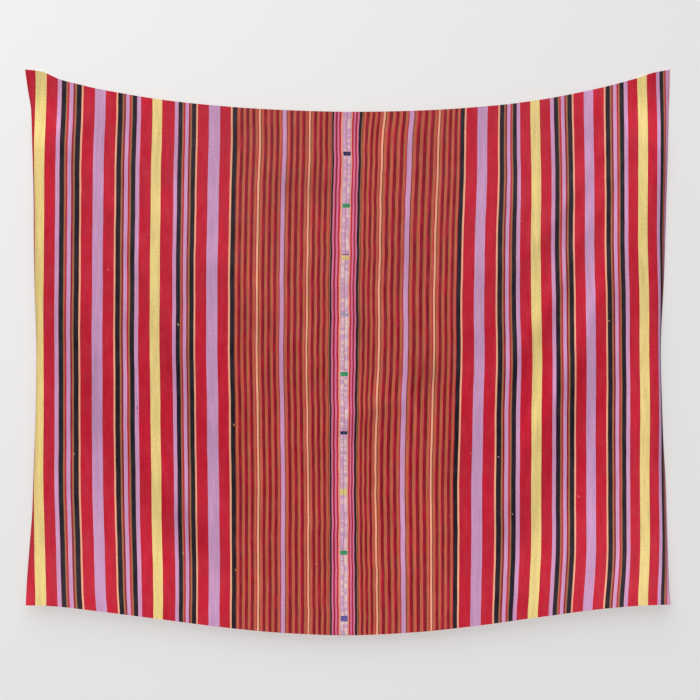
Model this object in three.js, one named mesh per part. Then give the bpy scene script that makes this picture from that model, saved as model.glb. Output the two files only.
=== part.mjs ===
// Striped wall tapestry, hung flat to a wall by its two top corners.
// Two woven panels meet edge to edge at an embroidered join down the middle.
// Millimetres. +Z is up, the front faces -Y, and the wall is the plane y = 0.
// The origin is on the wall, midway between the two held corners.
import * as THREE from 'three';

// ---- driving sizes ----
const EDGE_LEFT = -759.6;      // outer edge of the left panel, cloth laid flat
const EDGE_RIGHT = 758.4;      // outer edge of the right panel, cloth laid flat
const JOIN = -8.7;             // line where the panels meet
const JOIN_GAP = 0.3;          // between the two selvedges
const CLOTH = 1.5;             // thickness of one layer
const HEM_EXTRA = 1.3;         // second layer of the turned hem, on the back
const HEM_SIDE = 10;           // width of the side hems
const HEM_END = 12;            // width of the top and bottom hems
const HEM_STEP = 1.5;          // the hem's fold-over edge
const CORNER_FLAT = 34;        // round each held corner the cloth lies flat on the wall
const CORNER_FREE = 190;       // from here on it hangs free

// How the top and bottom edges run, for sections across the cloth:
// at = distance from the middle, sag = top edge below the corners, foot = bottom edge below the corners.
const SECTIONS = [
  { at: -760, sag: 0.0, foot: 1254.0 },
  { at: -722, sag: 5.6, foot: 1254.8 },
  { at: -681, sag: 23.6, foot: 1257.4 },
  { at: -634, sag: 36.2, foot: 1263.0 },
  { at: -587, sag: 47.5, foot: 1269.0 },
  { at: -446, sag: 71.2, foot: 1286.7 },
  { at: -305, sag: 86.6, foot: 1304.6 },
  { at: -163, sag: 95.9, foot: 1318.2 },
  { at: 0, sag: 100.2, foot: 1324.4 },
  { at: 169, sag: 96.6, foot: 1316.8 },
  { at: 309, sag: 87.8, foot: 1302.2 },
  { at: 450, sag: 73.0, foot: 1283.0 },
  { at: 590, sag: 45.6, foot: 1263.8 },
  { at: 684, sag: 20.2, foot: 1255.0 },
  { at: 719, sag: 8.2, foot: 1253.4 },
  { at: 760, sag: 0.5, foot: 1252.0 },
];

// How the cloth hangs, for levels below the corners (down):
// leanL, leanJ, leanR = sideways drift of the left edge, the join and the right edge,
// turnL, turnR = degrees that the side edges curl back to the wall, reach = width of that curl,
// edge, mid = how far the cloth stands off the wall at its sides and in the middle.
const LEVELS = [
  { down: 0, leanL: 3.6, leanJ: 9.0, leanR: -4.6, turnL: 0, turnR: 0, reach: 20, edge: 0, mid: 24 },
  { down: 29, leanL: 5, leanJ: 8.6, leanR: -4.4, turnL: 44, turnR: 20, reach: 22, edge: 11, mid: 24.5 },
  { down: 106, leanL: 4.6, leanJ: 7.9, leanR: -3.0, turnL: 103, turnR: 52, reach: 30, edge: 24, mid: 26 },
  { down: 247, leanL: 1.9, leanJ: 6.3, leanR: -3.3, turnL: 120, turnR: 62, reach: 42, edge: 33, mid: 28.5 },
  { down: 387, leanL: 1.8, leanJ: 2.8, leanR: -4.2, turnL: 105, turnR: 67, reach: 50, edge: 38, mid: 30.5 },
  { down: 528, leanL: 0.2, leanJ: 1, leanR: -0.7, turnL: 123, turnR: 89, reach: 52, edge: 40, mid: 31.5 },
  { down: 661, leanL: 0.0, leanJ: 0.2, leanR: 0.0, turnL: 160, turnR: 120, reach: 52, edge: 40, mid: 31 },
  { down: 808, leanL: 0.4, leanJ: -0.3, leanR: 1.6, turnL: 136, turnR: 107, reach: 52, edge: 39, mid: 29.5 },
  { down: 949, leanL: -0.5, leanJ: -1.2, leanR: 0.2, turnL: 115, turnR: 80, reach: 50, edge: 37, mid: 28.5 },
  { down: 1089, leanL: 2.8, leanJ: -0.6, leanR: 1.4, turnL: 79, turnR: 74, reach: 46, edge: 38, mid: 29.5 },
  { down: 1171, leanL: 5.0, leanJ: -0.6, leanR: -0.2, turnL: 53, turnR: 64, reach: 40, edge: 42, mid: 32 },
  { down: 1230, leanL: 7.0, leanJ: -0.5, leanR: -3.2, turnL: 26, turnR: 50, reach: 30, edge: 47, mid: 35 },
  { down: 1254, leanL: 7.4, leanJ: -0.4, leanR: -3.4, turnL: 0, turnR: 30, reach: 24, edge: 49, mid: 36 },
  { down: 1330, leanL: 7.4, leanJ: -0.2, leanR: -3.4, turnL: 0, turnR: 30, reach: 24, edge: 55, mid: 39 },
];

// Soft drag folds that fan from the two held corners towards the lower middle.
// x1, z1 to x2, z2 = the crest's ends, bow = how far its middle bends sideways,
// width = half width, rise = height towards the viewer, negative for a trough.
const FOLDS = [
  { x1: -705, z1: -150, x2: -200, z2: -1190, bow: -140, width: 50, rise: 6.8 },
  { x1: -760, z1: -480, x2: -290, z2: -1240, bow: -84, width: 78, rise: -6.4 },
  { x1: -690, z1: -100, x2: -325, z2: -760, bow: 8, width: 23, rise: 5 },
  { x1: -680, z1: -120, x2: -350, z2: -1050, bow: 4, width: 22, rise: 5 },
  { x1: -470, z1: -540, x2: -290, z2: -900, bow: 6, width: 26, rise: 4.6 },
  { x1: 700, z1: -150, x2: 300, z2: -1150, bow: 52, width: 46, rise: 6.8 },
  { x1: 740, z1: -420, x2: 380, z2: -1180, bow: 50, width: 74, rise: -6.4 },
  { x1: 640, z1: -120, x2: 385, z2: -480, bow: 6, width: 20, rise: 4 },
  { x1: 680, z1: -110, x2: 338, z2: -771, bow: 15, width: 23, rise: 5.4 },
  { x1: 600, z1: -480, x2: 370, z2: -960, bow: 14, width: 24, rise: 5 },
  { x1: -330, z1: -400, x2: -180, z2: -600, bow: -6, width: 34, rise: 3 },
  { x1: -60, z1: -850, x2: 170, z2: -760, bow: -8, width: 30, rise: 1.8 },
  { x1: -60, z1: -1010, x2: 60, z2: -1300, bow: 10, width: 70, rise: 3 },
  { x1: 60, z1: -180, x2: 110, z2: -520, bow: 8, width: 62, rise: 2 },
  { x1: -440, z1: -300, x2: -330, z2: -520, bow: 0, width: 60, rise: 4 },
  { x1: 400, z1: -260, x2: 330, z2: -520, bow: 0, width: 60, rise: 4 },
];

// ---- mesh density ----
const CURL_STEPS = [0, 5, HEM_SIDE, HEM_SIDE + HEM_STEP, 16, 22, 29, 36, 44, 52];
const FLAT_COLUMNS = 19;       // even columns from the curl to the join
const FLAT_ROWS = 28;          // even rows between the two end hems

// ---- helpers ----
const smooth = (t) => { const c = Math.min(Math.max(t, 0), 1); return c * c * (3 - 2 * c); };

// Value of one column of a table at key = x, along a smooth curve through its rows.
function along(rows, key, name, x) {
  const last = rows.length - 1;
  const c = Math.min(Math.max(x, rows[0][key]), rows[last][key]);
  let i = 0;
  while (i < last - 1 && c > rows[i + 1][key]) i += 1;
  const slope = (k) => {
    if (k === 0) return (rows[1][name] - rows[0][name]) / (rows[1][key] - rows[0][key]);
    if (k === last) return (rows[last][name] - rows[last - 1][name]) / (rows[last][key] - rows[last - 1][key]);
    return (rows[k + 1][name] - rows[k - 1][name]) / (rows[k + 1][key] - rows[k - 1][key]);
  };
  const h = rows[i + 1][key] - rows[i][key];
  const t = (c - rows[i][key]) / h;
  const t2 = t * t;
  const t3 = t2 * t;
  return (2 * t3 - 3 * t2 + 1) * rows[i][name] + (t3 - 2 * t2 + t) * h * slope(i)
    + (-2 * t3 + 3 * t2) * rows[i + 1][name] + (t3 - t2) * h * slope(i + 1);
}

// A strip of cloth curls through `turn` degrees over `reach`, tightest in its middle.
// Returns how much narrower it looks (in) and how far it goes back (back), `e` from its free edge.
function curl(turn, reach, e) {
  if (e >= reach || turn <= 0) return { in: 0, back: 0 };
  const steps = 24;
  const h = (reach - e) / steps;
  const out = { in: 0, back: 0 };
  for (let i = 0; i < steps; i += 1) {
    const angle = THREE.MathUtils.degToRad(turn) * smooth((h * (i + 0.5)) / reach);
    out.in += h * (1 - Math.cos(angle));
    out.back += h * Math.sin(angle);
  }
  return out;
}

// Height of one fold at a point of the hanging cloth.
function foldHeight(f, x, z) {
  const dx = f.x2 - f.x1;
  const dz = f.z2 - f.z1;
  const long = Math.hypot(dx, dz);
  const t = ((x - f.x1) * dx + (z - f.z1) * dz) / (long * long);
  const side = ((x - f.x1) * -dz + (z - f.z1) * dx) / long;
  const bent = side - Math.sign(-dz) * f.bow * 4 * Math.min(Math.max(t, 0), 1) * (1 - Math.min(Math.max(t, 0), 1));
  const ends = smooth((t + 0.08) / 0.3) * smooth((1.08 - t) / 0.34);
  return f.rise * ends * Math.exp(-((bent / f.width) ** 2));
}

// Middle of the cloth's thickness at flat place u and level z (negative, below the corners).
function place(u, z) {
  const down = -z;
  const value = (name) => along(LEVELS, 'down', name, down);
  const lean = u < JOIN
    ? THREE.MathUtils.mapLinear(u, EDGE_LEFT, JOIN, value('leanL'), value('leanJ'))
    : THREE.MathUtils.mapLinear(u, JOIN, EDGE_RIGHT, value('leanJ'), value('leanR'));
  const atLeft = u < JOIN;
  const fromEdge = atLeft ? u - EDGE_LEFT : EDGE_RIGHT - u;
  const rolled = curl(Math.max(value(atLeft ? 'turnL' : 'turnR'), 0), value('reach'), fromEdge);
  const x = u + lean + (atLeft ? rolled.in : -rolled.in);
  const half = (EDGE_RIGHT - EDGE_LEFT) / 2;
  const across = 1 - (Math.min(Math.abs(u), half) / half) ** 2;
  const fromCorner = Math.hypot(fromEdge, down);
  const free = smooth((fromCorner - CORNER_FLAT) / (CORNER_FREE - CORNER_FLAT));
  const hang = THREE.MathUtils.lerp(value('edge'), value('mid'), across);
  let folds = 0;
  for (const f of FOLDS) folds += foldHeight(f, x, z);
  const off = free * (hang + folds) - rolled.back;
  return new THREE.Vector3(x, -(CLOTH / 2 + HEM_EXTRA) - Math.max(off, 0), z);
}

const topAt = (u) => -along(SECTIONS, 'at', 'sag', u);
const footAt = (u) => -along(SECTIONS, 'at', 'foot', u);

// Levels of the rows at flat place u: the hem lines follow the top and bottom edges.
function level(u, row, rows) {
  const top = topAt(u);
  const foot = footAt(u);
  const lines = [0, HEM_END, HEM_END + HEM_STEP];
  if (row < lines.length) return top - lines[row];
  if (row > rows - lines.length) return foot + lines[rows - row];
  const t = (row - 2) / (rows - 4);
  return THREE.MathUtils.lerp(top - lines[2], foot + lines[2], t);
}

// Unit vector out of the cloth's front face.
function frontNormal(u, z) {
  const d = 2;
  const across = place(u + d, z).sub(place(u - d, z));
  const down = place(u, z - d).sub(place(u, z + d));
  return down.cross(across).normalize();
}

// One panel: a thin closed sheet, from a box whose corners are moved to the hanging cloth.
function panel(outer, inner) {
  const side = Math.sign(inner - outer);
  const columns = CURL_STEPS.map((e) => outer + side * e);
  const start = columns[columns.length - 1];
  for (let i = 1; i <= FLAT_COLUMNS; i += 1) columns.push(THREE.MathUtils.lerp(start, inner, i / FLAT_COLUMNS));
  if (side < 0) columns.reverse();
  const nx = columns.length - 1;
  const nz = FLAT_ROWS + 4;
  const box = new THREE.BoxGeometry(1, 1, 1, nx, 1, nz);
  const p = box.attributes.position;
  for (let k = 0; k < p.count; k += 1) {
    const column = Math.round((p.getX(k) + 0.5) * nx);
    const row = Math.round((0.5 - p.getZ(k)) * nz);
    const u = columns[column];
    const z = level(u, row, nz);
    const normal = frontNormal(u, z);
    const fromEdge = side > 0 ? column : nx - column;
    const hemmed = fromEdge <= 2 || row <= 1 || row >= nz - 1;
    const middle = place(u, z);
    const front = p.getY(k) < 0;
    const step = front ? CLOTH / 2 : -(CLOTH / 2 + (hemmed ? HEM_EXTRA : 0));
    middle.addScaledVector(normal, step);
    p.setXYZ(k, middle.x, middle.y, middle.z);
  }
  box.deleteAttribute('normal');
  box.deleteAttribute('uv');
  return box;
}

const red = new THREE.MeshStandardMaterial({ color: 0xc4243c, roughness: 0.92, metalness: 0 });
const brown = new THREE.MeshStandardMaterial({ color: 0xa83a32, roughness: 0.92, metalness: 0 });

const tapestry = new THREE.Group();
const pieces = [
  ['left_panel', panel(EDGE_LEFT, JOIN - JOIN_GAP / 2), red],
  ['right_panel', panel(EDGE_RIGHT, JOIN + JOIN_GAP / 2), brown],
];
for (const [name, geometry, material] of pieces) {
  const mesh = new THREE.Mesh(geometry, material);
  mesh.name = name;
  tapestry.add(mesh);
}

export default tapestry;
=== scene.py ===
import math
import bpy
import numpy as np
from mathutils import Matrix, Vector


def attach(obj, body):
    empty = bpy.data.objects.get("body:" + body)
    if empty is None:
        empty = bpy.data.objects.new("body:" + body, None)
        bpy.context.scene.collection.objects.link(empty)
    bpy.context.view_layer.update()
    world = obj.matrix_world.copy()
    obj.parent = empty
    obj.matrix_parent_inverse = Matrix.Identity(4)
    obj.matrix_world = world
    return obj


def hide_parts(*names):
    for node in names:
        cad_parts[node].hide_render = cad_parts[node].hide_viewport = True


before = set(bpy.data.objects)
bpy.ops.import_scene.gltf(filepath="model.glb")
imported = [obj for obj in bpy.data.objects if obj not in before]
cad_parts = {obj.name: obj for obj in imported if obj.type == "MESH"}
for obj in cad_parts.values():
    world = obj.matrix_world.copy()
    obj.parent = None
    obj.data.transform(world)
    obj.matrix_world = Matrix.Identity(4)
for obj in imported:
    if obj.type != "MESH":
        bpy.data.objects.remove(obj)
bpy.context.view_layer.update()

RNG = np.random.default_rng(7)
MM = 0.001

# ---------------------------------------------------------------- sizes, as in the solids
EDGE_LEFT, EDGE_RIGHT, JOIN, JOIN_GAP = -759.6, 758.4, -8.7, 0.3
CLOTH, HEM_EXTRA = 1.5, 1.3
HEM_SIDE, HEM_END, HEM_STEP = 10.0, 12.0, 1.5
CORNER_FLAT, CORNER_FREE = 34.0, 190.0

# at, sag, foot
SECTIONS = np.array([
    (-760, 0.0, 1254.0), (-722, 5.6, 1254.8), (-681, 23.6, 1257.4), (-634, 36.2, 1263.0),
    (-587, 47.5, 1269.0), (-446, 71.2, 1286.7), (-305, 86.6, 1304.6), (-163, 95.9, 1318.2),
    (0, 100.2, 1324.4), (169, 96.6, 1316.8), (309, 87.8, 1302.2), (450, 73.0, 1283.0),
    (590, 45.6, 1263.8), (684, 20.2, 1255.0), (719, 8.2, 1253.4), (760, 0.5, 1252.0),
])
# down, turnL, turnR, reach, edge, mid
LEVELS = np.array([
    (0, 0, 0, 20, 0, 24), (29, 44, 20, 22, 11, 24.5), (106, 103, 52, 30, 24, 26),
    (247, 120, 62, 42, 33, 28.5), (387, 105, 67, 50, 38, 30.5), (528, 123, 89, 52, 40, 31.5),
    (661, 160, 120, 52, 40, 31), (808, 136, 107, 52, 39, 29.5), (949, 115, 80, 50, 37, 28.5),
    (1089, 79, 74, 46, 38, 29.5), (1171, 53, 64, 40, 42, 32), (1230, 26, 50, 30, 47, 35),
    (1254, 0, 30, 24, 49, 36), (1330, 0, 30, 24, 55, 39),
], float)
# x1, z1, x2, z2, bow, width, rise: the main drag folds, as in the solids
FOLDS = [
    (-705, -150, -200, -1190, -140, 50, 6.8), (-760, -480, -290, -1240, -84, 78, -6.4),
    (-690, -100, -325, -760, 8, 23, 5), (-680, -120, -350, -1050, 4, 22, 5),
    (-470, -540, -290, -900, 6, 26, 4.6), (700, -150, 300, -1150, 52, 46, 6.8),
    (740, -420, 380, -1180, 50, 74, -6.4), (640, -120, 385, -480, 6, 20, 4),
    (680, -110, 338, -771, 15, 23, 5.4), (600, -480, 370, -960, 14, 24, 5),
    (-330, -400, -180, -600, -6, 34, 3), (-60, -850, 170, -760, -8, 30, 1.8),
    (-60, -1010, 60, -1300, 10, 70, 3), (60, -180, 110, -520, 8, 62, 2),
    (-440, -300, -330, -520, 0, 60, 4), (400, -260, 330, -520, 0, 60, 4),
]
# Small creases that only the fine surface carries
CREASES = [
    (-281, -452, -171, -559, 0, 13, 1.3), (-30, -810, 145, -770, 0, 12, 1.2),
    (-600, -230, -470, -560, 0, 11, 1.0), (590, -240, 470, -600, 0, 11, 1.0),
    (-470, -300, -330, -700, 0, 12, 1.0), (480, -330, 380, -720, 0, 12, 1.0),
]
# Sideways drift of the stripes at levels below the corners, for these flat places
DRIFT_AT = np.array([-758, -711, -580, -447, -313, -206, -89, -9, 56, 148, 267, 361, 417, 487, 623, 693], float)
DRIFT = np.array([
    (0, 3.6, 6.3, 7.6, 6.6, 7, 8.2, 9.6, 8.9, 15, 17.2, 10.6, 4.2, -4.6, -6.2, -5, -4.6),
    (29, 5, 6.3, 7.6, 6.6, 7, 8.2, 9.6, 8.5, 15, 17.2, 10.6, 4.2, -4.6, -6.2, -5, -4.4),
    (108, 4.6, 4.9, 6.3, 5.6, 6.3, 7.5, 8.9, 7.7, 13.3, 15, 9.6, 4, -4, -5.6, -5.6, -3),
    (178, 2.8, 3, 4, 4.4, 5.4, 7.5, 7.3, 6.3, 7.5, 10.3, 8.9, 3.7, -2.8, -3.5, -4.9, -3.1),
    (248, 1.9, 1.9, 2.6, 2.8, 4.2, 5.1, 6.1, 6.3, 5.4, 7.5, 7.5, 3.7, -1.6, -2.1, -4, -3.3),
    (388, 1.8, 1.8, 1.6, 1.2, 1.4, 1.6, 2.8, 2.8, 3, 2.8, 3, -0.2, -3, -3.3, -4.2, -4.2),
    (529, 0.2, 0.2, 0.5, 0, 0, 0.5, 1.6, 1, 0.5, 0.2, -0.2, -1.6, -3.5, -1.6, -1.9, -0.7),
    (662, 0, 0, 0, 0, 0, 0, 0, 0.2, 0, 0, 0, 0, 0, 0, 0, 0),
    (810, 0.4, 0.4, 0.5, 1.9, 1.9, 2.1, 1.6, -0.3, -5.4, -5.1, -3.3, -2.8, -2.1, -0.5, 0.2, 1.6),
    (950, -0.5, -0.5, 0.9, 3.7, 3, 4, 3.3, -1.2, -7.7, -7.7, -7, -3.7, -3.3, -0.9, 0.2, 0.2),
    (1090, 2.8, 2.8, 4.2, 5.1, 5.1, 3.3, 4.2, -0.6, -6.3, -6.6, -7.3, -4.2, -3.3, -0.7, 0.9, 1.4),
    (1161, 4.9, 4.9, 6.1, 6.8, 5.4, 3.3, 4.2, -0.6, -5.1, -5.6, -7.3, -4.9, -4.9, -2.8, -0.5, -0.2),
    (1231, 7, 7, 8.7, 8.4, 5.4, 3.7, 4.2, -0.5, -4, -5.4, -8, -7.5, -8.2, -6.6, -5.4, -3.2),
    (1278, 7.4, 7.4, 11.9, 8.2, 5.4, 3.3, 4.7, -0.4, -3.7, -5.1, -8.9, -9.6, -11.5, -9.4, -8.2, -3.4),
    (1330, 7.4, 7.4, 11.9, 8.2, 5.4, 3.3, 4.7, -0.2, -3.7, -5.1, -8.9, -9.6, -11.5, -9.4, -8.2, -3.4),
], float)

# ---------------------------------------------------------------- dyes and the warp
def lin(r, g, b):
    """sRGB 0..255 to linear."""
    c = np.array([r, g, b]) / 255.0
    return np.where(c <= 0.04045, c / 12.92, ((c + 0.055) / 1.055) ** 2.4)

DYES = {
    "red": lin(206, 28, 53), "lilac": lin(213, 160, 203), "orchid": lin(219, 160, 203), "yellow": lin(250, 222, 142),
    "black": lin(30, 25, 36), "salmon": lin(255, 181, 145), "tan": lin(176, 114, 78),
    "ochre": lin(184, 116, 70), "rust": lin(222, 90, 80), "wine": lin(140, 18, 36), "magenta": lin(164, 24, 58),
    "pink": lin(232, 122, 160), "cream": lin(246, 172, 150), "pale": lin(232, 188, 200), "mauve": lin(150, 96, 140),
}
# Small groups of warp stripes. Each row is a dye and its share of the group's width.
LADDER = [("orchid", .158), ("black", .176), ("tan", .062), ("red", .064), ("orchid", .150), ("wine", .066),
          ("tan", .066), ("black", .186), ("salmon", .068)]
QUARTER = [("wine", .035), ("ochre", .055), ("rust", .070), ("wine", .142), ("ochre", .060), ("rust", .072),
           ("wine", .142), ("ochre", .060), ("rust", .072), ("wine", .142), ("ochre", .055), ("rust", .065), ("wine", .030)]
GROUPS = {"ladder": LADDER, "ladder_back": LADDER[::-1], "fine": QUARTER}
# The warp of each panel from its left to its right: group or dye, width
LEFT_WARP = [
    ("red", 22.5), ("yellow", 25.3), ("red", 25.7), ("ladder", 60.4), ("red", 26.9), ("lilac", 24.8), ("red", 25.7),
    ("ladder_back", 58.0), ("red", 27.1), ("yellow", 22.7), ("red", 29.7), ("ladder", 53.6), ("red", 25.7),
    ("lilac", 26.2), ("red", 24.8), ("salmon", 4.2), ("black", 9.6), ("fine", 50.7), ("salmon", 4.6),
    ("fine", 50.5), ("orchid", 9.4), ("fine", 51.9), ("salmon", 4.2), ("fine", 49.2), ("tan", 2.0), ("black", 4.1),
    ("pink", 4.2), ("magenta", 4.3), ("pink", 4.6), ("red", 4.3), ("cream", 4.1), ("pale", 8.5), ("mauve", 0.7),
]
RIGHT_WARP = [
    ("mauve", 0.7), ("pale", 8.5), ("cream", 2.2), ("red", 3.6), ("pink", 4.2), ("magenta", 3.6), ("pink", 3.8),
    ("black", 5.9), ("tan", 2.0), ("fine", 44.0), ("salmon", 4.6), ("fine", 54.9), ("orchid", 11.0), ("fine", 58.8),
    ("salmon", 4.5), ("fine", 50.4), ("black", 9.4), ("salmon", 4.2), ("red", 27.4), ("lilac", 24.3), ("red", 27.1),
    ("ladder_back", 58.7), ("red", 26.2), ("yellow", 22.5), ("red", 24.6), ("ladder", 55.0), ("red", 24.1),
    ("lilac", 22.0), ("red", 24.8), ("ladder_back", 55.0), ("red", 22.9), ("yellow", 22.2), ("red", 22.2),
    ("lilac", 7.7), ("black", 8.2), ("tan", 3.5), ("red", 3.0), ("lilac", 7.9), ("red", 1.5),
]
# Soiled and faded places, and painted light: flat place, level, half width, half height, how much darker (below 0 is
# lighter). The rows that lighten the left and right side edges and the two lower corners are painted light.
STAINS_AND_PAINTED_LIGHT = [
    (-150, -262, 34, 36, .15), (-70, -275, 40, 44, .18), (180, -716, 36, 42, .24), (24, -604, 22, 40, .12),
    (281, -643, 40, 34, .10), (-400, -680, 46, 76, .09), (0, -854, 26, 20, .10), (-140, -660, 70, 40, .05),
    (120, -420, 60, 90, .05), (-60, -1100, 80, 60, .04), (430, -640, 46, 190, .05), (-718, -570, 50, 160, -.06),
    (-590, -700, 16, 130, .10), (-720, -50, 70, 76, .12), (715, -50, 80, 84, .13), (-260, -90, 420, 100, .035), (260, -90, 420, 100, .035),
    (-440, -320, 70, 70, -.05), (-240, -515, 60, 30, -.05), (176, -1072, 40, 60, -.06),
    (-600, -1120, 150, 200, -.09), (600, -1100, 140, 210, -.09), (640, -660, 90, 520, -.07), (90, -1000, 200, 140, -.02),
]
# Where the yarns' pale fuzz shows more (or less), and painted light: flat place, level, half width, half height,
# amount. The rows at the two lower corners and along the side edges are painted light that pales those places.
PALE_FUZZ_AND_PAINTED_LIGHT = [
    (-330, -210, 210, 240, .019), (430, -210, 240, 240, .016), (-440, -790, 260, 170, -.014),
    (440, -790, 240, 170, -.014), (0, -1020, 320, 300, -.013), (-690, -1190, 130, 110, .020),
    (640, -1180, 150, 120, .022), (-715, -800, 50, 200, .010), (705, -850, 50, 260, .010),
]

def warp_lines(warp, start, end):
    """Cumulative stripe edges and the dye of each stripe, fitted to the panel's width."""
    edges, dyes = [0.0], []
    for name, width in warp:
        parts = GROUPS.get(name, [(name, 1.0)])
        total = sum(s for _, s in parts)
        for dye, share in parts:
            edges.append(edges[-1] + width * share / total)
            dyes.append(dye)
    edges = np.array(edges)
    return start + edges * (end - start) / edges[-1], dyes

# ---------------------------------------------------------------- how the cloth hangs
def smooth(t):
    c = np.clip(t, 0, 1)
    return c * c * (3 - 2 * c)

def hermite(xs, ys, x):
    """Smooth curve through a table's rows; ys may have more columns."""
    x = np.clip(x, xs[0], xs[-1])
    i = np.clip(np.searchsorted(xs, x, side="right") - 1, 0, len(xs) - 2)
    slope = np.empty_like(ys)
    slope[1:-1] = (ys[2:] - ys[:-2]) / (xs[2:] - xs[:-2]).reshape((-1,) + (1,) * (ys.ndim - 1))
    slope[0] = (ys[1] - ys[0]) / (xs[1] - xs[0])
    slope[-1] = (ys[-1] - ys[-2]) / (xs[-1] - xs[-2])
    h = xs[i + 1] - xs[i]
    t = (x - xs[i]) / h
    if ys.ndim > 1:
        h, t = h[..., None], t[..., None]
    t2, t3 = t * t, t * t * t
    return ((2 * t3 - 3 * t2 + 1) * ys[i] + (t3 - 2 * t2 + t) * h * slope[i]
            + (-2 * t3 + 3 * t2) * ys[i + 1] + (t3 - t2) * h * slope[i + 1])

def drift(u, down):
    rows = hermite(DRIFT[:, 0], DRIFT[:, 1:], down.ravel())
    uu = np.clip(u.ravel(), DRIFT_AT[0], DRIFT_AT[-1])
    i = np.clip(np.searchsorted(DRIFT_AT, uu, side="right") - 1, 0, len(DRIFT_AT) - 2)
    pick = lambda k: np.take_along_axis(rows, np.clip(k, 0, len(DRIFT_AT) - 1)[:, None], 1)[:, 0]
    at = lambda k: DRIFT_AT[np.clip(k, 0, len(DRIFT_AT) - 1)]
    a, b = pick(i), pick(i + 1)
    h = at(i + 1) - at(i)
    sa = (b - pick(i - 1)) / np.maximum(at(i + 1) - at(i - 1), 1)
    sb = (pick(i + 2) - a) / np.maximum(at(i + 2) - at(i), 1)
    t = (uu - at(i)) / h
    t2, t3 = t * t, t * t * t
    out = (2 * t3 - 3 * t2 + 1) * a + (t3 - 2 * t2 + t) * h * sa + (-2 * t3 + 3 * t2) * b + (t3 - t2) * h * sb
    return out.reshape(u.shape)

def curl(turn, reach, e):
    """Width lost and depth gained where a side edge curls back, e from the edge."""
    steps = 24
    h = (reach - e) / steps
    gone, back = np.zeros_like(e), np.zeros_like(e)
    for i in range(steps):
        angle = np.radians(turn) * smooth((h * (i + 0.5)) / reach)
        gone += h * (1 - np.cos(angle))
        back += h * np.sin(angle)
    off = (e >= reach) | (turn <= 0)
    return np.where(off, 0, gone), np.where(off, 0, back)

def fold_height(fold, x, z):
    x1, z1, x2, z2, bow, width, rise = fold
    dx, dz = x2 - x1, z2 - z1
    long = math.hypot(dx, dz)
    t = ((x - x1) * dx + (z - z1) * dz) / long ** 2
    side = ((x - x1) * -dz + (z - z1) * dx) / long
    tc = np.clip(t, 0, 1)
    bent = side - math.copysign(1, -dz) * bow * 4 * tc * (1 - tc)
    ends = smooth((t + 0.08) / 0.3) * smooth((1.08 - t) / 0.34)
    return rise * ends * np.exp(-((bent / width) ** 2))

def ripple(u, z):
    """Very low unevenness of hand-woven cloth."""
    return (0.45 * np.sin(u * 0.021 + 1.3) * np.sin(z * 0.013 + 0.4)
            + 0.3 * np.sin(u * 0.047 + z * 0.011) + 0.25 * np.sin(z * 0.031 - u * 0.017 + 2.0)
            + 0.18 * np.sin(u * 0.09 + 0.7 * np.sin(z * 0.02)) * np.sin(z * 0.043 + 1.0))

def wander(u, z, from_edge):
    """The yarns don't run quite straight, least of all in the fine stripes beside the join."""
    near = np.exp(-((u - JOIN - 20) / 150) ** 2)
    w = near * (0.50 * np.sin(z * 0.052 + 0.8 * np.sin(z * 0.017) + u * 0.004)
                + 0.32 * np.sin(z * 0.118 + u * 0.011 + 1.7))
    w = w + 0.28 * np.sin(z * 0.031 + u * 0.006 + 2.1) + 0.12 * np.sin(z * 0.083 - u * 0.009)
    return w * smooth(from_edge / 120)

def place(u, z):
    """Middle of the cloth's thickness at flat place u and level z."""
    u, z = np.broadcast_arrays(np.asarray(u, float), np.asarray(z, float))
    down = -z
    turn_l, turn_r, reach, edge, mid = np.moveaxis(
        hermite(LEVELS[:, 0], LEVELS[:, 1:], down.ravel()).reshape(u.shape + (5,)), -1, 0)
    at_left = u < JOIN
    from_edge = np.where(at_left, u - EDGE_LEFT, EDGE_RIGHT - u)
    gone, back = curl(np.maximum(np.where(at_left, turn_l, turn_r), 0), reach, from_edge)
    x = u + drift(u, down) + wander(u, z, from_edge) + np.where(at_left, gone, -gone)
    half = (EDGE_RIGHT - EDGE_LEFT) / 2
    across = 1 - (np.minimum(np.abs(u), half) / half) ** 2
    from_corner = np.hypot(from_edge, down)
    free = smooth((from_corner - CORNER_FLAT) / (CORNER_FREE - CORNER_FLAT))
    folds = sum(fold_height(f, x, z) for f in FOLDS + CREASES)
    off = free * (edge + (mid - edge) * across + folds + ripple(u, z)) - back
    y = -(CLOTH / 2 + HEM_EXTRA) - np.maximum(off, 0)
    return np.stack([x, y, z], -1)

def front_normal(u, z):
    d = 2.0
    across = place(u + d, z) - place(u - d, z)
    down = place(u, z - d) - place(u, z + d)
    n = np.cross(down, across)
    return n / np.linalg.norm(n, axis=-1, keepdims=True)

def top_at(u):
    return -hermite(SECTIONS[:, 0], SECTIONS[:, 1], u)

def foot_at(u):
    return -hermite(SECTIONS[:, 0], SECTIONS[:, 2], u)

# ---------------------------------------------------------------- meshes
def add_attribute(mesh, name, kind, domain, values):
    a = mesh.attributes.new(name, kind, domain)
    a.data.foreach_set("vector" if kind == "FLOAT_VECTOR" else "value", np.asarray(values, np.float32).ravel())

def make_object(name, verts_mm, faces):
    mesh = bpy.data.meshes.new(name)
    mesh.from_pydata((np.asarray(verts_mm) * MM).tolist(), [], [tuple(f) for f in faces])
    mesh.update()
    ob = bpy.data.objects.new(name, mesh)
    bpy.context.scene.collection.objects.link(ob)
    return ob

ROWS = 122           # even rows between the end hems
COLUMN_STEP = 12.0   # widest column

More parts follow.
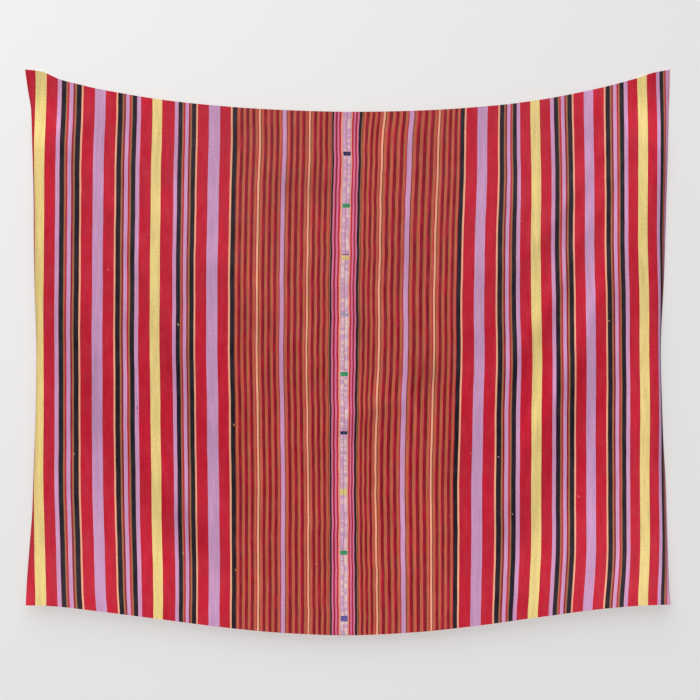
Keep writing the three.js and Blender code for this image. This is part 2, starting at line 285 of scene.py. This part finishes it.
def panel_columns(edges, outer, side):
    marks = list(edges)
    for e in (HEM_SIDE, HEM_SIDE + HEM_STEP):
        u = outer + side * e
        near = min(marks, key=lambda m: abs(m - u))
        if abs(near - u) > 0.35:
            marks.append(u)
    marks = sorted(marks)
    out = [marks[0]]
    for a, b in zip(marks, marks[1:]):
        from_edge = min(abs(a - outer), abs(b - outer))
        step = 4.5 if from_edge < 60 else COLUMN_STEP
        n = max(1, math.ceil((b - a) / step - 0.05))
        out += [a + (b - a) * (k + 1) / n for k in range(n)]
    return np.array(out)

def build_panel(name, warp, outer, inner):
    side = 1 if inner > outer else -1
    lo, hi = min(outer, inner), max(outer, inner)
    edges, dyes = warp_lines(warp, lo, hi)
    cols = panel_columns(edges, outer, side)
    nx = len(cols)
    lines = [0.0, HEM_END, HEM_END + HEM_STEP]
    nz = ROWS + 5
    U = np.repeat(cols[None, :], nz, 0)
    top, foot = top_at(cols), foot_at(cols)
    Z = np.empty((nz, nx))
    for r in range(nz):
        if r < 3:
            Z[r] = top - lines[r]
        elif r > nz - 4:
            Z[r] = foot + lines[nz - 1 - r]
        else:
            t = (r - 2) / (nz - 5)
            Z[r] = (top - lines[2]) * (1 - t) + (foot + lines[2]) * t
    mid = place(U, Z)
    n = front_normal(U, Z)
    hemmed = np.zeros((nz, nx), bool)
    hemmed[:2] = True
    hemmed[-2:] = True
    hemmed |= (np.abs(U - outer) <= HEM_SIDE + 0.01)
    front = mid + n * CLOTH / 2
    back = mid - n * (CLOTH / 2 + np.where(hemmed, HEM_EXTRA, 0))[..., None]
    verts = np.concatenate([front.reshape(-1, 3), back.reshape(-1, 3)])
    vid = np.arange(nz * nx).reshape(nz, nx)
    bid = vid + nz * nx
    a, b, c, d = vid[:-1, :-1], vid[:-1, 1:], vid[1:, 1:], vid[1:, :-1]
    f_front = np.stack([a, d, c, b], -1).reshape(-1, 4)
    f_back = np.stack([a, b, c, d], -1).reshape(-1, 4) + nz * nx
    f_top = np.stack([vid[0, :-1], vid[0, 1:], bid[0, 1:], bid[0, :-1]], -1)
    f_foot = np.stack([vid[-1, 1:], vid[-1, :-1], bid[-1, :-1], bid[-1, 1:]], -1)
    f_left = np.stack([vid[1:, 0], vid[:-1, 0], bid[:-1, 0], bid[1:, 0]], -1)
    f_right = np.stack([vid[:-1, -1], vid[1:, -1], bid[1:, -1], bid[:-1, -1]], -1)
    faces = np.concatenate([f_front, f_back, f_top, f_foot, f_left, f_right])
    ob = make_object(name, verts, faces)
    mesh = ob.data
    mesh.polygons.foreach_set("use_smooth", np.ones(len(faces), bool))

    # dye of each column strip
    centre = (cols[:-1] + cols[1:]) / 2
    strip = np.clip(np.searchsorted(edges, centre) - 1, 0, len(dyes) - 1)
    strip_rgb = np.array([DYES[dyes[s]] for s in strip])
    per_row = np.tile(strip_rgb, (nz - 1, 1))
    face_rgb = np.concatenate([per_row, per_row, strip_rgb, strip_rgb,
                               np.tile(strip_rgb[0], (nz - 1, 1)), np.tile(strip_rgb[-1], (nz - 1, 1))])
    add_attribute(mesh, "dye", "FLOAT_VECTOR", "CORNER", np.repeat(face_rgb, 4, 0))

    # how far the dye of a strip has run towards crimson
    run = np.array([{"wine": 1.0, "rust": 0.45, "ochre": 0.35}.get(dyes[s], 0.0) for s in strip])
    rows_run = np.tile(run, (nz - 1, 1)).ravel()
    edge_run = np.zeros(nz - 1)
    face_run = np.concatenate([rows_run, rows_run, run, run, edge_run, edge_run])
    add_attribute(mesh, "run", "FLOAT", "CORNER", np.repeat(face_run, 4))

    # flat place of each vertex, in metres: across, down the warp, and 0 front or 1 back
    uu, zz = U.ravel(), Z.ravel()
    flat = np.stack([np.concatenate([uu, uu]) * MM, np.concatenate([zz, zz]) * MM,
                     np.concatenate([np.zeros(nz * nx), np.ones(nz * nx)])], -1)
    add_attribute(mesh, "flat", "FLOAT_VECTOR", "POINT", flat)
    # stains, with painted light at the side edges and the lower corners; the back is 6% darker than the front
    painted_light_and_stain_tone = np.ones_like(uu)
    for su, sz, ru, rz, dark in STAINS_AND_PAINTED_LIGHT:
        painted_light_and_stain_tone *= 1 - dark * np.exp(-(((uu - su) / ru) ** 2 + ((zz - sz) / rz) ** 2))
    add_attribute(mesh, "painted_light_and_stain_tone", "FLOAT", "POINT", np.concatenate([painted_light_and_stain_tone, painted_light_and_stain_tone * 0.94]))
    # pale fuzz, with painted light at the lower corners and the side edges
    fuzz_and_painted_light_amount = np.zeros_like(uu)
    for su, sz, ru, rz, amount in PALE_FUZZ_AND_PAINTED_LIGHT:
        fuzz_and_painted_light_amount += amount * np.exp(-(((uu - su) / ru) ** 2 + ((zz - sz) / rz) ** 2))
    add_attribute(mesh, "fuzz_and_painted_light_amount", "FLOAT", "POINT", np.concatenate([fuzz_and_painted_light_amount, fuzz_and_painted_light_amount]))

    # map: the front takes most of it, then the back, then the thin edges
    fu = (U - lo) / (hi - lo)
    fv = np.repeat(np.linspace(0, 1, nz)[:, None], nx, 1)
    fv = (top[None, :] - Z) / (top - foot)[None, :]
    F = lambda p, q: np.stack([0.004 + 0.992 * p, 0.995 - 0.655 * q], -1)
    B = lambda p, q: np.stack([0.004 + 0.992 * p, 0.320 - 0.270 * q], -1)
    def grid_uv(m):
        g = m
        return g[:-1, :-1], g[:-1, 1:], g[1:, 1:], g[1:, :-1]
    ff, bb = F(fu, fv), B(fu, fv)
    a, b, c, d = grid_uv(ff)
    uv_front = np.stack([a, d, c, b], 2).reshape(-1, 4, 2)
    a, b, c, d = grid_uv(bb)
    uv_back = np.stack([a, b, c, d], 2).reshape(-1, 4, 2)
    def strip_uv(run, v0, v1):
        r0, r1 = run[:-1], run[1:]
        return np.stack([np.stack([r0, np.full_like(r0, v1)], -1), np.stack([r1, np.full_like(r0, v1)], -1),
                         np.stack([r1, np.full_like(r0, v0)], -1), np.stack([r0, np.full_like(r0, v0)], -1)], 1)
    across_run = 0.004 + 0.992 * fu[0]
    down_run = 0.004 + 0.992 * np.linspace(0, 1, nz)
    uv_top = strip_uv(across_run, 0.0390, 0.0430)
    t = strip_uv(across_run, 0.0300, 0.0340)
    uv_foot = t[:, [1, 0, 3, 2]]
    t = strip_uv(down_run, 0.0210, 0.0250)
    uv_left = t[:, [1, 0, 3, 2]]
    uv_right = strip_uv(down_run, 0.0120, 0.0160)
    uv = np.concatenate([uv_front, uv_back, uv_top, uv_foot, uv_left, uv_right]).reshape(-1, 2)
    layer = mesh.uv_layers.new(name="OFBake")
    layer.data.foreach_set("uv", uv.astype(np.float32).ravel())

    # crisp where the sheet's faces meet its thin edges
    rim = set()
    for k in range(nx):
        for r in (0, nz - 1):
            rim.add(int(vid[r, k])); rim.add(int(bid[r, k]))
    for r in range(nz):
        for k in (0, nx - 1):
            rim.add(int(vid[r, k])); rim.add(int(bid[r, k]))
    sharp = mesh.attributes.new("sharp_edge", "BOOLEAN", "EDGE")
    ev = np.empty(len(mesh.edges) * 2, np.int32)
    mesh.edges.foreach_get("vertices", ev)
    ev = ev.reshape(-1, 2)
    is_rim = np.zeros(len(verts), bool)
    is_rim[list(rim)] = True
    both = is_rim[ev[:, 0]] & is_rim[ev[:, 1]] & ((ev[:, 0] < nz * nx) == (ev[:, 1] < nz * nx))
    sharp.data.foreach_set("value", both)
    return ob

left = build_panel("left_cloth", LEFT_WARP, EDGE_LEFT, JOIN - JOIN_GAP / 2)
right = build_panel("right_cloth", RIGHT_WARP, EDGE_RIGHT, JOIN + JOIN_GAP / 2)

# ---------------------------------------------------------------- stitches
def thread_mesh(paths, widths, heights, colours, rings=4, sides=6):
    """Closed, slightly flattened threads. paths: (n, rings + 1, 3), ups: the way out of the cloth."""
    n = len(paths["p"])
    P, N = paths["p"], paths["n"]
    k = P.shape[1]
    tangent = np.gradient(P, axis=1)
    tangent /= np.linalg.norm(tangent, axis=-1, keepdims=True)
    side = np.cross(tangent, N)
    side /= np.linalg.norm(side, axis=-1, keepdims=True)
    up = np.cross(side, tangent)
    s = np.linspace(0, 1, k)
    swell = np.clip(np.sqrt(np.clip(1 - (2 * s - 1) ** 6, 0, 1)), 0.18, 1)
    angle = np.linspace(0, 2 * math.pi, sides, endpoint=False)
    ring = (np.cos(angle)[None, None, :, None] * side[:, :, None, :] * (widths[:, None] * swell)[:, :, None, None] / 2
            + np.sin(angle)[None, None, :, None] * up[:, :, None, :] * (heights[:, None] * swell)[:, :, None, None] / 2)
    body = P[:, :, None, :] + ring
    tip0, tip1 = P[:, :1], P[:, -1:]
    verts = np.concatenate([body.reshape(n, -1, 3), tip0, tip1], 1)
    per = k * sides + 2
    quads, tris = [], []
    for r in range(k - 1):
        for q in range(sides):
            q2 = (q + 1) % sides
            quads.append((r * sides + q, r * sides + q2, (r + 1) * sides + q2, (r + 1) * sides + q))
    for q in range(sides):
        q2 = (q + 1) % sides
        tris.append((per - 2, q2, q))
        tris.append((per - 1, (k - 1) * sides + q, (k - 1) * sides + q2))
    faces, rgb = [], []
    for i in range(n):
        o = i * per
        faces += [(a + o, b + o, c + o, d + o) for a, b, c, d in quads]
        faces += [(a + o, b + o, c + o) for a, b, c in tris]
    corners = len(quads) * 4 + len(tris) * 3
    return verts.reshape(-1, 3), faces, np.repeat(np.asarray(colours), corners, 0)

def surface(u, z, back=False, lift=0.0, hem=0.0):
    n = front_normal(u, z)
    p = place(u, z)
    if back:
        return p - n * (CLOTH / 2 + hem + lift)[..., None], -n
    return p + n * (CLOTH / 2 + lift)[..., None], n

def thread_object(name, groups):
    verts, faces, rgb, at = [], [], [], 0
    for v, f, c in groups:
        verts.append(v)
        faces += [tuple(i + at for i in face) for face in f]
        rgb.append(c)
        at += len(v)
    ob = make_object(name, np.concatenate(verts), faces)
    mesh = ob.data
    mesh.polygons.foreach_set("use_smooth", np.ones(len(faces), bool))
    add_attribute(mesh, "dye", "FLOAT_VECTOR", "CORNER", np.concatenate(rgb))
    return ob

# The join: two columns of satin stitches that meet on the seam.
STITCH_PITCH, STITCH_REACH = 1.9, 9.9
LILAC_THREAD, CREAM_THREAD = lin(229, 174, 212), lin(253, 220, 220)
# Coloured blocks down the join: level, height, dye
BLOCKS = [
    (-198.6, 8.0, lin(26, 34, 92)), (-319.5, 9.4, lin(24, 172, 104)), (-441.0, 9.4, lin(255, 226, 138)),
    (-434.6, 2.2, lin(96, 56, 60)), (-575.0, 6.0, lin(168, 170, 196)), (-713.9, 9.6, lin(28, 172, 104)),
    (-851.8, 8.0, lin(26, 34, 92)), (-990.6, 15.0, lin(250, 228, 138)), (-1131.3, 10.4, lin(24, 166, 96)),
    (-1285.6, 13.4, lin(110, 102, 184)),
]

def join_threads():
    top = float(top_at(np.array([JOIN]))[0]) - 1.5
    foot = float(foot_at(np.array([JOIN]))[0]) + 1.5
    levels = np.arange(top, foot, -STITCH_PITCH)
    groups = []
    for sign in (-1, 1):
        # lilac and cream threads in turn, in soft groups; the right column is the paler one, the top mostly lilac
        turn = np.convolve(RNG.normal(0, 1, len(levels) + 4), [0.4, 0.8, 1.0, 0.8, 0.4], "valid")
        share = np.clip(0.5 + 0.05 * sign + 0.30 * turn + RNG.normal(0, 0.10, len(levels))
                        - 0.35 * smooth((levels + 330) / 110), 0, 1)
        z_mid = levels + RNG.normal(0, 0.16, len(levels))
        colours = []
        for z, cream in zip(levels, share):
            c = (LILAC_THREAD * (1 - cream) + CREAM_THREAD * cream) * RNG.uniform(0.96, 1.08)
            for bz, bh, dye in BLOCKS:
                if abs(z - bz) < bh / 2:
                    c = dye * RNG.uniform(0.9, 1.1)
            colours.append(np.clip(c, 0, 1))
        colours = np.array(colours)
        m = len(levels)
        s = np.linspace(0, 1, 5)
        reach = STITCH_REACH + RNG.normal(0, 0.28, m)
        start = JOIN - sign * 0.35
        u = start + sign * s[None, :] * reach[:, None]
        z = z_mid[:, None] + s[None, :] * RNG.normal(0.0, 0.35, m)[:, None] - sign * 0.0
        arch = 0.18 + 0.62 * np.sin(np.clip(s, 0, 1) * math.pi) ** 0.6
        lift = np.repeat(arch[None, :], m, 0) * RNG.uniform(0.85, 1.15, m)[:, None] - 0.1
        p, n = surface(u, z, lift=lift)
        groups.append(thread_mesh({"p": p, "n": n}, np.full(m, STITCH_PITCH * 1.02), RNG.uniform(0.95, 1.2, m), colours))
        # the same stitches cross behind the seam, shorter
        keep = slice(0, m, 2)
        ub = start + sign * s[None, :] * (reach[keep] * 0.72)[:, None]
        zb = z_mid[keep][:, None] + s[None, :] * RNG.normal(0.6, 0.5, len(reach[keep]))[:, None]
        liftb = np.repeat((0.12 + 0.4 * np.sin(s * math.pi) ** 0.6)[None, :], len(ub), 0)
        p, n = surface(ub, zb, back=True, lift=liftb)
        groups.append(thread_mesh({"p": p, "n": n}, np.full(len(ub), STITCH_PITCH * 1.5), np.full(len(ub), 0.8),
                                  colours[keep] * 0.9))
    return groups

def hem_threads():
    """Small slanting hem stitches, on the back only."""
    groups = []
    dye = lin(150, 28, 48)
    def run(u0, z0, u1, z1, slant):
        m = len(u0)
        s = np.linspace(0, 1, 4)
        u = u0[:, None] + (u1 - u0)[:, None] * s
        z = z0[:, None] + (z1 - z0)[:, None] * s
        hem = np.where(s < 0.55, HEM_EXTRA, 0.35) * np.ones((m, 1))
        p, n = surface(u, z, back=True, lift=np.full((m, 4), 0.15), hem=hem)
        groups.append(thread_mesh({"p": p, "n": n}, np.full(m, 0.8), np.full(m, 0.6),
                                  np.repeat(dye[None], m, 0) * RNG.uniform(0.85, 1.1, m)[:, None]))
    for outer, sign in ((EDGE_LEFT, 1), (EDGE_RIGHT, -1)):
        z = np.arange(-22, -1236, -8.5)
        z = z + RNG.normal(0, 0.5, len(z))
        u0 = np.full(len(z), outer + sign * (HEM_SIDE - 2.6))
        u1 = np.full(len(z), outer + sign * (HEM_SIDE + 2.4))
        run(u0, z, u1, z - 2.4, 1)
    for lo, hi in ((EDGE_LEFT + 16, JOIN - 12), (JOIN + 12, EDGE_RIGHT - 16)):
        u = np.arange(lo, hi, 8.5)
        u = u + RNG.normal(0, 0.5, len(u))
        run(u, top_at(u) - (HEM_END - 2.6), u + 2.4, top_at(u) - (HEM_END + 2.4), 1)
        run(u, foot_at(u) + (HEM_END - 2.6), u + 2.4, foot_at(u) + (HEM_END + 2.4), 1)
    return groups

# Loose ends and slubs caught in the weave: flat place, level, across, down, thickness, dye
SLUBS = [
    (-396, -599, 2.0, -3.0, 1.3, lin(250, 214, 160)), (-494, -793, 1.0, -4.0, 1.5, lin(56, 24, 30)),
    (-269, -833, 1.5, -3.5, 1.2, lin(240, 170, 110)), (-391, -1133, 2.5, -2.0, 1.2, lin(246, 196, 130)),
    (-267, -1172, 2.0, -3.0, 1.2, lin(238, 160, 110)), (-80, -1158, 2.6, -1.6, 1.3, lin(236, 130, 160)),
    (-447, -152, 2.0, -1.5, 1.1, lin(210, 150, 80)), (250, -419, 1.6, -3.0, 1.2, lin(240, 160, 120)),
    (405, -356, 1.8, -2.4, 1.1, lin(246, 200, 160)), (611, -590, 1.6, -2.4, 1.2, lin(246, 190, 150)),
    (356, -908, 2.2, -2.2, 1.2, lin(236, 196, 210)), (293, -899, 1.4, -3.0, 1.2, lin(226, 120, 90)),
    (389, -1041, 1.8, -2.6, 1.2, lin(240, 180, 140)), (246, -1046, 1.5, -2.6, 1.2, lin(230, 130, 100)),
    (-560, -470, 1.5, -2.6, 1.0, lin(236, 180, 160)), (-640, -900, 1.5, -2.6, 1.0, lin(236, 200, 190)),
    (540, -1000, 1.6, -2.2, 1.0, lin(240, 210, 200)), (140, -560, 1.6, -2.2, 1.0, lin(236, 150, 110)),
]

def slub_threads():
    t = np.array([(a, b, c, d, e) for a, b, c, d, e, _ in SLUBS])
    dye = np.array([s[5] for s in SLUBS])
    s = np.linspace(-1, 1, 5)
    u = t[:, :1] + t[:, 2:3] * s
    z = t[:, 1:2] + t[:, 3:4] * s
    lift = np.repeat((0.25 * (1 - s ** 2))[None, :], len(t), 0)
    p, n = surface(u, z, lift=lift)
    return [thread_mesh({"p": p, "n": n}, t[:, 4] * 1.1, t[:, 4] * 0.8, dye)]

join = thread_object("join_stitches", join_threads())
hems = thread_object("hem_stitches", hem_threads())
slubs = thread_object("slubs", slub_threads())

# ---------------------------------------------------------------- materials
def node(tree, kind, x=0, y=0, **values):
    n = tree.nodes.new(kind)
    n.location = (x, y)
    for k, v in values.items():
        setattr(n, k, v)
    return n

def attribute(tree, name, x, y):
    return node(tree, "ShaderNodeAttribute", x, y, attribute_name=name, attribute_type="GEOMETRY")

def maths(tree, op, a, b=None, c=None, clamp=False):
    n = node(tree, "ShaderNodeMath", operation=op, use_clamp=clamp)
    for i, v in enumerate((a, b, c)):
        if v is None:
            continue
        if isinstance(v, (int, float)):
            n.inputs[i].default_value = v
        else:
            tree.links.new(v, n.inputs[i])
    return n.outputs[0]

def cloth_material():
    m = bpy.data.materials.new("woven_cloth")
    m.use_nodes = True
    t = m.node_tree
    t.nodes.clear()
    out = node(t, "ShaderNodeOutputMaterial", 1200, 0)
    bsdf = node(t, "ShaderNodeBsdfPrincipled", 900, 0)
    t.links.new(bsdf.outputs[0], out.inputs[0])
    bsdf.inputs["Specular IOR Level"].default_value = 0.15
    bsdf.inputs["Sheen Weight"].default_value = 0.03
    bsdf.inputs["Sheen Roughness"].default_value = 0.5
    dye = attribute(t, "dye", -1200, 300)
    painted_light_and_stain_tone = attribute(t, "painted_light_and_stain_tone", -1200, 100)
    flat = attribute(t, "flat", -1400, -200)
    sep = node(t, "ShaderNodeSeparateXYZ", -1200, -200)
    t.links.new(flat.outputs["Vector"], sep.inputs[0])
    across, down, backside = sep.outputs[0], sep.outputs[1], sep.outputs[2]

    def noise(sx, sy, detail=2.0, rough=0.5, offset=0.0):
        """Noise over the flat cloth; sx and sy are features for each metre."""
        c = node(t, "ShaderNodeCombineXYZ")
        t.links.new(maths(t, "MULTIPLY", across, sx), c.inputs[0])
        t.links.new(maths(t, "MULTIPLY_ADD", down, sy, offset), c.inputs[1])
        t.links.new(maths(t, "MULTIPLY", backside, 7.3), c.inputs[2])
        n = node(t, "ShaderNodeTexNoise")
        n.inputs["Scale"].default_value = 1.0
        n.inputs["Detail"].default_value = detail
        n.inputs["Roughness"].default_value = rough
        t.links.new(c.outputs[0], n.inputs["Vector"])
        return n.outputs[0]

    yarn = noise(620, 16, 2.0, 0.6)            # each warp yarn takes the dye a little differently
    streak = noise(130, 9, 2.0, 0.6, 3.0)      # streaks a few yarns wide
    cloud = noise(9, 6, 3.0, 0.55, 9.0)        # slow change over the cloth
    mottle = noise(260, 230, 2.0, 0.7, 5.0)    # woolly unevenness
    value = maths(t, "MULTIPLY_ADD", yarn, 0.26, 0.87)
    value = maths(t, "MULTIPLY", value, maths(t, "MULTIPLY_ADD", streak, 0.50, 0.75))
    value = maths(t, "MULTIPLY", value, maths(t, "MULTIPLY_ADD", cloud, 0.30, 0.85))
    value = maths(t, "MULTIPLY", value, maths(t, "MULTIPLY_ADD", mottle, 0.52, 0.74))
    # stains, and painted light at the side edges and the lower corners
    value = maths(t, "MULTIPLY", value, painted_light_and_stain_tone.outputs["Fac"])

    # ribs run across the warp, where each weft passes under it
    wobble = maths(t, "MULTIPLY", noise(60, 40, 1.0, 0.5, 2.0), 0.0016)
    rib_at = maths(t, "ADD", down, wobble)
    rib_wave_and_painted_shade = maths(t, "SINE", maths(t, "MULTIPLY", rib_at, 2 * math.pi / 0.0030))
    yarns = maths(t, "SINE", maths(t, "MULTIPLY", maths(t, "ADD", across, maths(t, "MULTIPLY", wobble, 0.3)),
                                   2 * math.pi / 0.0012))
    # painted shade: the colour is a little darker in the rib valleys
    value = maths(t, "MULTIPLY", value, maths(t, "MULTIPLY_ADD", rib_wave_and_painted_shade, 0.022, 1.0))

    tint = node(t, "ShaderNodeVectorMath", operation="SCALE")
    t.links.new(dye.outputs["Vector"], tint.inputs[0])
    t.links.new(value, tint.inputs["Scale"])

    # blotches where the fine stripes' dye has run
    blotch = maths(t, "MULTIPLY_ADD", noise(75, 15, 2.0, 0.6, 12.0), 3.2, -1.42, clamp=True)
    ran = node(t, "ShaderNodeMix", data_type="RGBA")
    t.links.new(maths(t, "MULTIPLY", blotch, attribute(t, "run", -1200, -400).outputs["Fac"]), ran.inputs[0])
    t.links.new(tint.outputs[0], ran.inputs[6])
    crimson = node(t, "ShaderNodeVectorMath", operation="SCALE")
    crimson.inputs[0].default_value = tuple(lin(190, 26, 50))
    t.links.new(value, crimson.inputs["Scale"])
    t.links.new(crimson.outputs[0], ran.inputs[7])

    # a faint pale fuzz on the yarns, uneven over the cloth, with painted light paling the lower corners and the side
    # edges
    fuzz_share_with_painted_light = maths(t, "MULTIPLY_ADD", noise(45, 22, 3.0, 0.6, 7.0), 0.10, -0.030)
    fuzz_share_with_painted_light = maths(t, "ADD", fuzz_share_with_painted_light, attribute(t, "fuzz_and_painted_light_amount", -1200, -600).outputs["Fac"], clamp=True)
    mix = node(t, "ShaderNodeMix", data_type="RGBA")
    t.links.new(fuzz_share_with_painted_light, mix.inputs[0])
    t.links.new(ran.outputs[2], mix.inputs[6])
    mix.inputs[7].default_value = (0.72, 0.50, 0.55, 1)
    t.links.new(mix.outputs[2], bsdf.inputs["Base Color"])

    rough = maths(t, "MULTIPLY_ADD", mottle, 0.16, 0.80)
    t.links.new(rough, bsdf.inputs["Roughness"])

    height = maths(t, "MULTIPLY", rib_wave_and_painted_shade, 0.00009)
    height = maths(t, "ADD", height, maths(t, "MULTIPLY", yarns, 0.00003))
    height = maths(t, "ADD", height, maths(t, "MULTIPLY", mottle, 0.0004))
    height = maths(t, "ADD", height, maths(t, "MULTIPLY", streak, 0.0002))
    bump = node(t, "ShaderNodeBump", 600, -300)
    bump.inputs["Strength"].default_value = 0.6
    bump.inputs["Distance"].default_value = 1.0
    t.links.new(height, bump.inputs["Height"])
    t.links.new(bump.outputs[0], bsdf.inputs["Normal"])
    return m

def thread_material():
    m = bpy.data.materials.new("embroidery_thread")
    m.use_nodes = True
    t = m.node_tree
    t.nodes.clear()
    out = node(t, "ShaderNodeOutputMaterial", 900, 0)
    bsdf = node(t, "ShaderNodeBsdfPrincipled", 600, 0)
    t.links.new(bsdf.outputs[0], out.inputs[0])
    bsdf.inputs["Specular IOR Level"].default_value = 0.35
    bsdf.inputs["Sheen Weight"].default_value = 0.1
    dye = attribute(t, "dye", -600, 200)
    coord = node(t, "ShaderNodeTexCoord", -900, -100)
    stretch = node(t, "ShaderNodeVectorMath", operation="MULTIPLY")
    stretch.inputs[1].default_value = (300, 600, 1600)
    t.links.new(coord.outputs["Object"], stretch.inputs[0])
    n = node(t, "ShaderNodeTexNoise", -300, -100)
    n.inputs["Scale"].default_value = 1.0
    n.inputs["Detail"].default_value = 2.0
    t.links.new(stretch.outputs[0], n.inputs["Vector"])
    value = maths(t, "MULTIPLY_ADD", n.outputs[0], 0.2, 0.92)
    tint = node(t, "ShaderNodeVectorMath", operation="SCALE")
    t.links.new(dye.outputs["Vector"], tint.inputs[0])
    t.links.new(value, tint.inputs["Scale"])
    t.links.new(tint.outputs[0], bsdf.inputs["Base Color"])
    t.links.new(maths(t, "MULTIPLY_ADD", n.outputs[0], 0.2, 0.6), bsdf.inputs["Roughness"])
    bump = node(t, "ShaderNodeBump", 300, -300)
    bump.inputs["Strength"].default_value = 0.5
    bump.inputs["Distance"].default_value = 1.0
    t.links.new(maths(t, "MULTIPLY", n.outputs[0], 0.0003), bump.inputs["Height"])
    t.links.new(bump.outputs[0], bsdf.inputs["Normal"])
    return m

cloth = cloth_material()
thread = thread_material()
for ob in (left, right):
    ob.data.materials.append(cloth)
for ob in (join, hems, slubs):
    ob.data.materials.append(thread)

for ob in (left, right, join, hems, slubs):
    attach(ob, "root")
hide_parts("left_panel")
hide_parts("right_panel")

# ---------------------------------------------------------------- room, light and camera
def plain(name, colour, rough=0.9):
    m = bpy.data.materials.new(name)
    m.use_nodes = True
    bsdf = m.node_tree.nodes["Principled BSDF"]
    bsdf.inputs["Base Color"].default_value = (*colour, 1)
    bsdf.inputs["Roughness"].default_value = rough
    bsdf.inputs["Specular IOR Level"].default_value = 0.1
    return m

def wall_with_painted_light():
    """Pale wall with painted light: it glows, a little brighter at the upper left, and is clear from behind."""
    m = plain("backdrop_painted_light", (0.48, 0.48, 0.476))
    t = m.node_tree
    bsdf = t.nodes["Principled BSDF"]
    place_on = node(t, "ShaderNodeTexCoord", -1200, 0)
    sep = node(t, "ShaderNodeSeparateXYZ", -1000, 0)
    t.links.new(place_on.outputs["Object"], sep.inputs[0])
    x, up = sep.outputs[0], maths(t, "ADD", sep.outputs[2], 0.65)
    # painted light: the backdrop glows, brighter towards the upper left
    painted_glow = maths(t, "MULTIPLY_ADD", x, WALL_X, WALL_PAINTED_GLOW)
    painted_glow = maths(t, "ADD", painted_glow, maths(t, "MULTIPLY", up, WALL_UP))
    painted_glow = maths(t, "ADD", painted_glow, maths(t, "MULTIPLY", maths(t, "MULTIPLY", x, up), WALL_BOTH))
    painted_glow = maths(t, "MAXIMUM", maths(t, "MINIMUM", painted_glow, WALL_PAINTED_GLOW + 0.10), WALL_PAINTED_GLOW - 0.10)
    bsdf.inputs["Emission Color"].default_value = (1.0, 1.0, 0.993, 1)
    t.links.new(painted_glow, bsdf.inputs["Emission Strength"])
    geo = node(t, "ShaderNodeNewGeometry")
    clear = node(t, "ShaderNodeBsdfTransparent")
    mix = node(t, "ShaderNodeMixShader")
    t.links.new(geo.outputs["Backfacing"], mix.inputs[0])
    t.links.new(bsdf.outputs[0], mix.inputs[1])
    t.links.new(clear.outputs[0], mix.inputs[2])
    t.links.new(mix.outputs[0], t.nodes["Material Output"].inputs[0])
    return m

def flat_piece(name, corners, material):
    mesh = bpy.data.meshes.new(name)
    mesh.from_pydata(corners, [], [tuple(range(len(corners)))])
    ob = bpy.data.objects.new(name, mesh)
    bpy.context.scene.collection.objects.link(ob)
    ob.data.materials.append(material)
    return ob

FLOOR = -2.35
# painted light on the backdrop: a glow, brighter to the upper left, which also softens the cloth's shadow on it
WALL_PAINTED_GLOW, WALL_X, WALL_UP, WALL_BOTH = 0.541, -0.045, 0.047, -0.027
wall = flat_piece("backdrop", [(-3.4, 0.0015, FLOOR), (3.4, 0.0015, FLOOR), (3.4, 0.0015, 1.7), (-3.4, 0.0015, 1.7)],
                  wall_with_painted_light())
wall.visible_shadow = False
wall.visible_diffuse = False
wall.visible_glossy = False
floor = flat_piece("floor", [(-32, -32, FLOOR), (32, -32, FLOOR), (32, 32, FLOOR), (-32, 32, FLOOR)],
                   plain("floor_paint", (0.80, 0.80, 0.795)))
floor.visible_diffuse = False
floor.visible_glossy = False

world = bpy.data.worlds.new("studio")
world.use_nodes = True
world.node_tree.nodes["Background"].inputs[0].default_value = (1.0, 1.0, 1.0, 1)
world.node_tree.nodes["Background"].inputs[1].default_value = 0.21
bpy.context.scene.world = world

def sun(name, azimuth, elevation, strength, spread, falls_on):
    """Soft even light from azimuth degrees right of the viewer's back, and elevation degrees up."""
    data = bpy.data.lights.new(name, "SUN")
    data.energy = strength
    data.angle = math.radians(spread)
    ob = bpy.data.objects.new(name, data)
    az, el = math.radians(azimuth), math.radians(elevation)
    toward = Vector((math.sin(az) * math.cos(el), -math.cos(az) * math.cos(el), math.sin(el)))
    ob.rotation_euler = toward.to_track_quat("Z", "Y").to_euler()
    bpy.context.scene.collection.objects.link(ob)
    lit = bpy.data.collections.new(name + "_falls_on")
    for piece in falls_on:
        lit.objects.link(piece)
    ob.light_linking.receiver_collection = lit
    return ob

TEXTILE = [left, right, join, hems, slubs]
sun("key", -3, 60, 3.5, 20, TEXTILE)
sun("left_fill", -72, 12, 0.32, 40, TEXTILE)
sun("back_fill", 205, 35, 1.2, 30, TEXTILE)
sun("wall_light", -8, 45, 1.12, 60, [wall, floor])
sun("wall_edge", -8, 18, 0.24, 18, [wall, floor])

LENS, FRAME_WIDTH = 350.0, 1.638
data = bpy.data.cameras.new("camera")
data.lens = LENS
data.sensor_width = 36.0
camera = bpy.data.objects.new("camera", data)
camera.location = (0.0049, -(LENS / 36.0 * FRAME_WIDTH) - 0.02, -0.6575)
camera.rotation_euler = (math.radians(90), 0, 0)
bpy.context.scene.collection.objects.link(camera)
bpy.context.scene.camera = camera
bpy.context.scene.view_settings.view_transform = "Standard"
bpy.context.scene.view_settings.look = "None"

bpy.context.view_layer.update()
